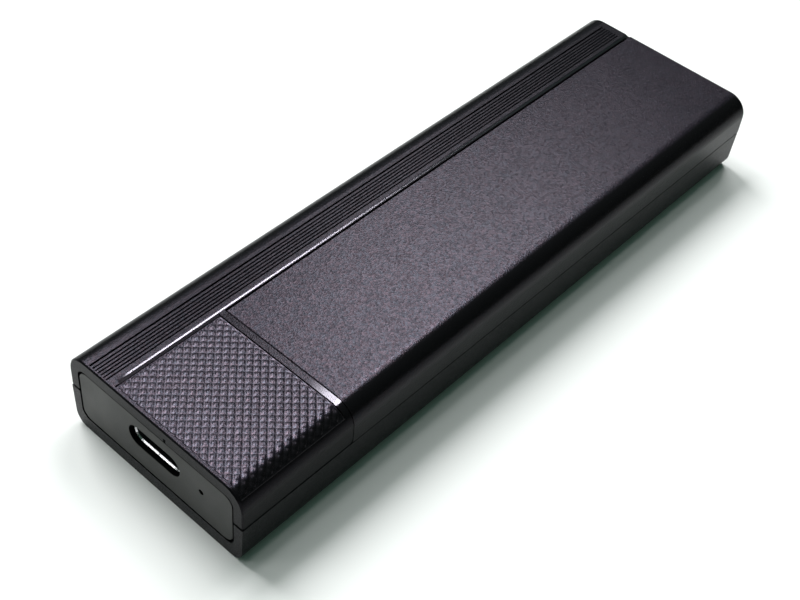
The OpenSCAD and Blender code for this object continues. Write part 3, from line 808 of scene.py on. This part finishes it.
def capacitors(materials):
    """Ceramic chips with tinned caps and a solder fillet at both ends."""
    b = Builder()
    for low, high in solids("chip_capacitors"):
        cap = (high.x - low.x) * 0.2
        inner = 0.025 * MM
        b.block((low.x + cap, low.y + inner, low.z + inner),
                (high.x - cap, high.y - inner, high.z - inner), "capacitor_tan")
        for x0, x1, side in ((low.x, low.x + cap, -1), (high.x - cap, high.x, 1)):
            b.block((x0, low.y, low.z), (x1, high.y, high.z), "tin", taper=0.03 * MM)
            outer = x0 if side < 0 else x1
            fillet = (outer, outer + side * 0.3 * MM)
            b.block((min(fillet), low.y, low.z), (max(fillet), high.y, low.z + 0.22 * MM), "tin",
                    taper=0.12 * MM)
    return b.finish("chip_capacitors_detailed", materials, edge=0.025 * MM)


def resistors(materials):
    """Resistor arrays: white ceramic, black coat on top, terminals on both long sides."""
    b = Builder()
    for low, high in solids("resistor_arrays"):
        margin = 0.22 * MM
        coat = high.z - 0.04 * MM
        b.block((low.x, low.y + 0.06 * MM, low.z), (high.x, high.y - 0.06 * MM, coat), "alumina")
        b.block((low.x + 0.05 * MM, low.y + margin, coat),
                (high.x - 0.05 * MM, high.y - margin, high.z), "resistor_black")
        for i in range(ARRAY_TERMINALS):
            x = low.x + (high.x - low.x) * (i + 0.5) / ARRAY_TERMINALS
            half = 0.24 * MM
            for y0, y1 in ((low.y, low.y + margin * 0.9), (high.y - margin * 0.9, high.y)):
                b.block((x - half, y0, low.z), (x + half, y1, high.z - 0.02 * MM), "tin")
    return b.finish("resistor_arrays_detailed", materials, edge=0.02 * MM)


def inductors(materials):
    """Shielded inductors: ferrite block with cut corners, a round core and two terminals."""
    b = Builder()
    for low, high in solids("power_inductors"):
        lid = high.z - 0.12 * MM
        b.block((low.x, low.y, low.z + 0.15 * MM), (high.x, high.y, lid), "ferrite_grey", corner=0.5 * MM)
        centre = (low + high) / 2
        b.disc((centre.x, centre.y), 1.45 * MM, lid, high.z, "ferrite_grey",
               taper=0.06 * MM, segments=40)
        half = 1.2 * MM
        for y0, y1 in ((low.y, low.y + 0.8 * MM), (high.y - 0.8 * MM, high.y)):
            b.block((centre.x - half, y0, low.z), (centre.x + half, y1, low.z + 0.2 * MM), "tin")
    return b.finish("power_inductors_detailed", materials, edge=0.06 * MM)


def crystal(materials):
    """Ceramic base with a welded metal lid."""
    low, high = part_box("clock_crystal")
    b = Builder()
    rim = low.z + 0.4 * MM
    b.block(low, (high.x, high.y, rim), "resistor_black", corner=0.2 * MM)
    inset = 0.1 * MM
    b.block((low.x + inset, low.y + inset, rim), (high.x - inset, high.y - inset, rim + 0.1 * MM),
            "gold_plate", corner=0.2 * MM)
    inset = 0.18 * MM
    b.block((low.x + inset, low.y + inset, rim + 0.1 * MM), (high.x - inset, high.y - inset, high.z),
            "crystal_can", taper=0.06 * MM, corner=0.25 * MM)
    return b.finish("clock_crystal_detailed", materials, edge=0.03 * MM)


def indicator(materials):
    """Side-looking LED: pale reflector, phosphor window towards the light pipe, two ends."""
    low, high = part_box("status_led")
    b = Builder()
    end = 0.25 * MM
    b.block((low.x + end, low.y + 0.05 * MM, low.z), (high.x - end, high.y, high.z), "led_cream")
    b.block((low.x + end * 1.6, low.y, low.z + 0.12 * MM),
            (high.x - end * 1.6, low.y + 0.06 * MM, high.z - 0.12 * MM), "phosphor")
    for x0, x1 in ((low.x, low.x + end), (high.x - end, high.x)):
        b.block((x0, low.y + 0.08 * MM, low.z), (x1, high.y, high.z - 0.1 * MM), "tin")
    return b.finish("status_led_detailed", materials, edge=0.02 * MM)


def switch_body(materials):
    """Tactile switch: dark base, bent steel cover with a round hole, four feet."""
    low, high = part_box("boot_switch_body")
    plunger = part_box("boot_switch_plunger")
    centre = (plunger[0] + plunger[1]) / 2
    radius = (plunger[1].x - plunger[0].x) / 2 + SWITCH_SIDE_GAP
    b = Builder()
    inset = 0.12 * MM
    travel = max(joint_range("boot_button_press"))
    base_top = plunger[0].z - travel - SWITCH_BOTTOM_GAP
    b.block((low.x + inset, low.y + inset, low.z), (high.x - inset, high.y - inset, base_top),
            "insulator_black")
    ring_plate(b, low, high, centre, radius, (high.z - 0.2 * MM, high.z), "switch_steel")
    wall = 0.15 * MM
    for y0, y1 in ((low.y, low.y + wall), (high.y - wall, high.y)):
        b.block((low.x + 0.3 * MM, y0, low.z + 0.35 * MM), (high.x - 0.3 * MM, y1, high.z - 0.2 * MM),
                "switch_steel")
    for x0, x1 in ((low.x, low.x + wall), (high.x - wall, high.x)):
        b.block((x0, low.y + 0.3 * MM, low.z + 0.5 * MM), (x1, high.y - 0.3 * MM, high.z - 0.2 * MM),
                "switch_steel")
    for x in (low.x + 0.35 * MM, high.x - 0.35 * MM):
        for y in (low.y + 0.6 * MM, high.y - 0.6 * MM):
            b.block((x - 0.35 * MM, y - 0.25 * MM, low.z),
                    (x + 0.35 * MM, y + 0.25 * MM, low.z + 0.15 * MM), "tin")
    return b.finish("boot_switch_body_detailed", materials, edge=0.03 * MM)


def ring_plate(b, low, high, centre, radius, z, material, segments=32):
    """Rectangular plate with a round hole, made of quads from the hole to the edge."""
    index = b.slot(material)
    inner, outer = [], []
    for i in range(segments):
        angle = 2 * math.pi * i / segments
        c, s = math.cos(angle), math.sin(angle)
        reach_x = (high.x - centre.x if c > 0 else centre.x - low.x) / max(abs(c), 1e-6)
        reach_y = (high.y - centre.y if s > 0 else centre.y - low.y) / max(abs(s), 1e-6)
        reach = min(reach_x, reach_y)
        for ring, r in ((inner, radius), (outer, reach)):
            ring.append([b.bm.verts.new((centre.x + c * r, centre.y + s * r, level)) for level in z])
    for i in range(segments):
        j = (i + 1) % segments
        for quad in ((inner[i][1], inner[j][1], outer[j][1], outer[i][1]),
                     (inner[j][0], inner[i][0], outer[i][0], outer[j][0]),
                     (inner[i][0], inner[j][0], inner[j][1], inner[i][1]),
                     (outer[j][0], outer[i][0], outer[i][1], outer[j][1])):
            b.bm.faces.new(quad).material_index = index


def switch_plunger(materials):
    """Round actuator with a broken top edge."""
    low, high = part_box("boot_switch_plunger")
    centre = (low + high) / 2
    b = Builder()
    b.disc((centre.x, centre.y), (high.x - low.x) / 2, low.z, high.z, "insulator_black", segments=40)
    return b.finish("boot_switch_plunger_detailed", materials, edge=0.12 * MM)


def stadium(width, height, segments=12):
    """Outline of a slot with round ends, open by the seam in the middle of its lower side."""
    r = height / 2
    straight = width / 2 - r
    points = [(SOCKET_SEAM / 2, -r)]
    for side, start in ((1, -90), (-1, 90)):
        for i in range(segments + 1):
            angle = math.radians(start + 180 * i / segments)
            points.append((side * straight + r * math.cos(angle), r * math.sin(angle)))
    return points + [(-SOCKET_SEAM / 2, -r)]


def socket_shell(materials):
    """Drawn socket shell: a chamfered lip, an open seam below, a closed back and four feet."""
    low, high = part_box("usb_c_shell")
    middle_z = low.z + SOCKET_SIZE[1] / 2
    lip = SOCKET_WALL * 0.5
    profile = [(0, high.y), (0, low.y + lip), (lip * 0.3, low.y + lip * 0.3), (lip, low.y),
               (SOCKET_WALL, low.y + SOCKET_CHAMFER), (SOCKET_WALL, high.y - SOCKET_WALL)]
    b = Builder()
    rings = []
    for inset, y in profile:
        outline = stadium(SOCKET_SIZE[0] - 2 * inset, SOCKET_SIZE[1] - 2 * inset)
        rings.append([b.bm.verts.new((x, y, middle_z + z)) for x, z in outline])
    last = len(rings[0]) - 1
    for first, second in zip(rings, rings[1:]):
        for i in range(last):
            b.bm.faces.new((first[i], first[i + 1], second[i + 1], second[i]))
    for end in (0, last):
        b.bm.faces.new([ring[end] for ring in rings])
    for ring in (rings[0], rings[-1]):
        b.bm.faces.new(ring)
    # The inner faces get the dark metal as painted shade inside the socket
    steel, painted_shade = b.slot("socket_steel"), b.slot("socket_painted_shade")
    for face in b.bm.faces:
        deep = all(vertex.co.y > low.y + SOCKET_CHAMFER / 2 for vertex in face.verts)
        inside = deep and all(abs(vertex.co.z - middle_z) < SOCKET_SIZE[1] / 2 - SOCKET_WALL * 0.9
                              and abs(vertex.co.x) < SOCKET_SIZE[0] / 2 - SOCKET_WALL * 0.9
                              for vertex in face.verts)
        face.material_index = painted_shade if inside else steel
    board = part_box("main_board")[1].z
    for x0, x1 in ((low.x, low.x + 1.4 * MM), (high.x - 1.4 * MM, high.x)):
        for y in (low.y + 2.9 * MM, low.y + 5.6 * MM):
            b.block((x0, y, board), (x1, y + 1.1 * MM, board + 0.25 * MM), "socket_steel")
    return b.finish("usb_c_shell_detailed", materials)


def header_body(materials):
    """Header insulator: two rows of cells with cut corners, one cell around each pin."""
    low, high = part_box("probe_header_body")
    pitch = (high.x - low.x) / HEADER_COLUMNS
    notch = 0.35 * MM
    b = Builder()
    middle = (low.z + high.z) / 2
    for i in range(HEADER_COLUMNS):
        x0 = low.x + i * pitch
        for z0, z1 in ((low.z, middle), (middle, high.z)):
            outline = cut_rectangle(x0, z0, x0 + pitch, z1, notch)
            along_y_prism(b, outline, low.y, high.y, "insulator_black")
    return b.finish("probe_header_body_detailed", materials, edge=0.05 * MM)


def along_y_prism(b, outline, y0, y1, material):
    """Prism over an X-Z outline between two Y positions."""
    b.loft([[b.bm.verts.new((x, y, z)) for x, z in outline] for y in (y0, y1)], material)


def header_pins(materials):
    """Square pins with pointed tips, their tails bent onto the board and soldered."""
    body_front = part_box("probe_header_body")[0].y
    board_low, board_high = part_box("main_board")
    b = Builder()
    for low, high in solids("probe_header_pins"):
        width = high.x - low.x
        x = (low.x + high.x) / 2
        if (low.z + high.z) / 2 > (board_low.z + board_high.z) / 2:
            z, face, side = high.z - width / 2, board_high.z, 1
        else:
            z, face, side = low.z + width / 2, board_low.z, -1
        shaft = [(x, body_front - PIN_SHAFT_START, z), (x, high.y - PIN_POINT, z)]
        b.bar(shaft, width, width, "gold_plate", (1, 0, 0))
        pointed_tip(b, x, z, width, high.y - PIN_POINT, high.y)
        pin_tail(b, low, high, body_front, z, face, side)
    return b.finish("probe_header_pins_detailed", materials, edge=0.03 * MM)


def pin_tail(b, low, high, body_front, z, face, side):
    """Tail of one pin, from its height z down or up to a face of the board, with its solder."""
    x = (low.x + high.x) / 2
    tail_z = face + side * 0.16 * MM
    first, second, third = (body_front - bend for bend in PIN_BENDS)
    tail = [(x, first, z), (x, second, z), (x, third, tail_z), (x, low.y + 0.05 * MM, tail_z)]
    b.bar(tail, high.x - low.x, PIN_TAIL_THICKNESS, "gold_plate", (1, 0, 0))
    z0, z1 = sorted((face, face + side * 0.12 * MM))
    b.block((low.x - 0.12 * MM, low.y - 0.1 * MM, z0),
            (high.x + 0.12 * MM, body_front - PIN_SOLDER_END, z1), "tin")


def pointed_tip(b, x, z, width, y0, y1):
    """Pyramid stump from a pin's full section at y0 to its small end face at y1."""
    corners = ((-1, -1), (1, -1), (1, 1), (-1, 1))
    rings = []
    for y, half in ((y0, width / 2), (y1, width * 0.2)):
        rings.append([b.bm.verts.new((x + i * half, y, z + k * half)) for i, k in corners])
    b.loft(rings, "gold_plate")


# ------------------------------------ dressing the frame


def joint_range(name):
    """Lowest and highest position of a joint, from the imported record."""
    for joint in frame["record"]["behaviour"]["joints"]:
        if joint["name"] == name:
            return joint["range_m"]
    raise KeyError(name)


def stand_in(piece, node, body):
    """The modelled piece is shown in place of a CAD node and moves with its body."""
    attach(piece, body)
    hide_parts(node)


def dress_cad_nodes(materials):
    """Finish of the CAD nodes that are shown, and the width of their broken edges in mm."""
    looks = {
        "bottom_shell": ("case_black", 0.08),
        "top_frame": ("frame_black", 0),
        "slide_cover": ("cover_blasted", 0.1),
        "front_end_plate": ("end_plate_satin", 0.05),
        "rear_end_plate": ("end_plate_satin", 0.05),
        "light_pipe": ("clear_acrylic", 0.04),
        "detent_spring": ("spring_steel", 0),
        "case_screws": ("screw_black", 0.05),
        "board_screws": ("screw_zinc", 0.05),
        "main_board": ("board_green", 0.03),
        "thermal_pad": ("silicone_grey", 0.08),
        "usb_c_tongue": ("insulator_black", 0.04),
        "usb_c_contacts": ("gold_plate", 0.01),
    }
    for name, (finish, edge) in looks.items():
        mesh = NODES[name].data
        mesh.materials.clear()
        mesh.materials.append(materials[finish])
        if edge:
            bevel(NODES[name], edge * MM)


def dress_board(materials):
    """Detailed parts in place of the plain CAD solids on the board."""
    stand_in(socket_shell(materials), "usb_c_shell", "case")
    for node, *sizes in LEADED_CHIPS:
        stand_in(leaded_chips(node, *sizes, materials), node, "case")
    for node, per_side, pitch in FLAT_CHIPS:
        stand_in(flat_chips(node, per_side, pitch, materials), node, "case")
    for node, across, along in BALL_GRID_CHIPS:
        stand_in(ball_grid_chip(node, across, along, materials), node, "case")
    for build, node, body, slot in (
        (capacitors, "chip_capacitors", "case", "capacitor_tan"),
        (resistors, "resistor_arrays", "case", "resistor_black"),
        (inductors, "power_inductors", "case", "ferrite_grey"),
        (crystal, "clock_crystal", "case", "crystal_can"),
        (indicator, "status_led", "case", "led_cream"),
        (switch_body, "boot_switch_body", "case", "switch_steel"),
        (switch_plunger, "boot_switch_plunger", "boot_button", "insulator_black"),
        (header_body, "probe_header_body", "case", "insulator_black"),
        (header_pins, "probe_header_pins", "case", "gold_plate"),
    ):
        stand_in(build(materials), node, body)


def dress_grip(materials):
    """Knurled pad in place of the plain CAD pad."""
    pad = knurled_pad()
    pad.data.materials.append(materials["grip_textured"])
    stand_in(pad, "grip_pad", "case")


# ------------------------------------ studio


def floor():
    """Large pale floor under the object."""
    corners = [(x * FLOOR_HALF, y * FLOOR_HALF, 0) for x, y in ((-1, -1), (1, -1), (1, 1), (-1, 1))]
    made = mesh_object("floor", corners, [(0, 1, 2, 3)])
    s = Shader("pale_floor", Roughness=0.75)
    s.colour(s.mix(s.noise(40 * MM, detail=3), (0.86, 0.875, 0.865), (0.9, 0.905, 0.9)))
    made.data.materials.append(s.material)


def direction(azimuth, elevation):
    """Unit vector towards a point `azimuth` degrees right of the back and `elevation` up."""
    turn, rise = math.radians(azimuth), math.radians(elevation)
    return Vector((math.sin(turn) * math.cos(rise), math.cos(turn) * math.cos(rise), math.sin(rise)))


def area_light(name, azimuth, elevation, size, radiance):
    """Softbox at a fixed distance, turned towards the middle of the object."""
    light = bpy.data.lights.new(name, "AREA")
    light.shape = "RECTANGLE"
    light.size, light.size_y = size
    light.energy = radiance * math.pi * size[0] * size[1]
    made = bpy.data.objects.new(name, light)
    towards = direction(azimuth, elevation)
    made.location = towards * LIGHT_DISTANCE
    made.rotation_euler = towards.to_track_quat("Z", "Y").to_euler()
    bpy.context.scene.collection.objects.link(made)


def sky():
    """Dim surroundings, brightest overhead."""
    world = bpy.data.worlds.new("studio")
    world.use_nodes = True
    nodes, links = world.node_tree.nodes, world.node_tree.links
    background = nodes["Background"]
    background.inputs["Color"].default_value = SKY_COLOUR
    coords = nodes.new("ShaderNodeTexCoord")
    axes = nodes.new("ShaderNodeSeparateXYZ")
    rise = nodes.new("ShaderNodeMapRange")
    rise.inputs["From Min"].default_value = SKY_RISE
    rise.inputs["To Min"].default_value = SKY_HORIZON
    rise.inputs["To Max"].default_value = SKY_ZENITH
    links.new(coords.outputs["Generated"], axes.inputs["Vector"])
    links.new(axes.outputs["Z"], rise.inputs["Value"])
    links.new(rise.outputs["Result"], background.inputs["Strength"])
    bpy.context.scene.world = world


def camera():
    """Camera in front of the target, at the photo's azimuth, elevation and roll."""
    azimuth = math.radians(CAMERA_AZIMUTH)
    elevation = math.radians(CAMERA_ELEVATION)
    back = Vector((math.sin(azimuth) * math.cos(elevation),
                   -math.cos(azimuth) * math.cos(elevation), math.sin(elevation)))
    data = bpy.data.cameras.new("camera")
    data.lens = CAMERA_LENS
    data.sensor_width = CAMERA_SENSOR
    data.clip_start = CAMERA_CLIP
    made = bpy.data.objects.new("camera", data)
    made.location = CAMERA_TARGET + back * CAMERA_DISTANCE
    facing = (-back).to_track_quat("-Z", "Y").to_matrix().to_4x4()
    roll = Matrix.Rotation(math.radians(-CAMERA_ROLL), 4, "Z")
    made.rotation_euler = (facing @ roll).to_euler()
    bpy.context.scene.collection.objects.link(made)
    bpy.context.scene.camera = made


def write_sizes():
    """Updates the view layer."""
    bpy.context.view_layer.update()


finishes = {**case_materials(), **hardware_materials(), **board_materials()}
dress_cad_nodes(finishes)
dress_grip(finishes)
dress_board(finishes)
floor()
sky()
for settings in STUDIO_LIGHTS:
    area_light(*settings)
camera()
bpy.context.scene.view_settings.view_transform = "Standard"
write_sizes()
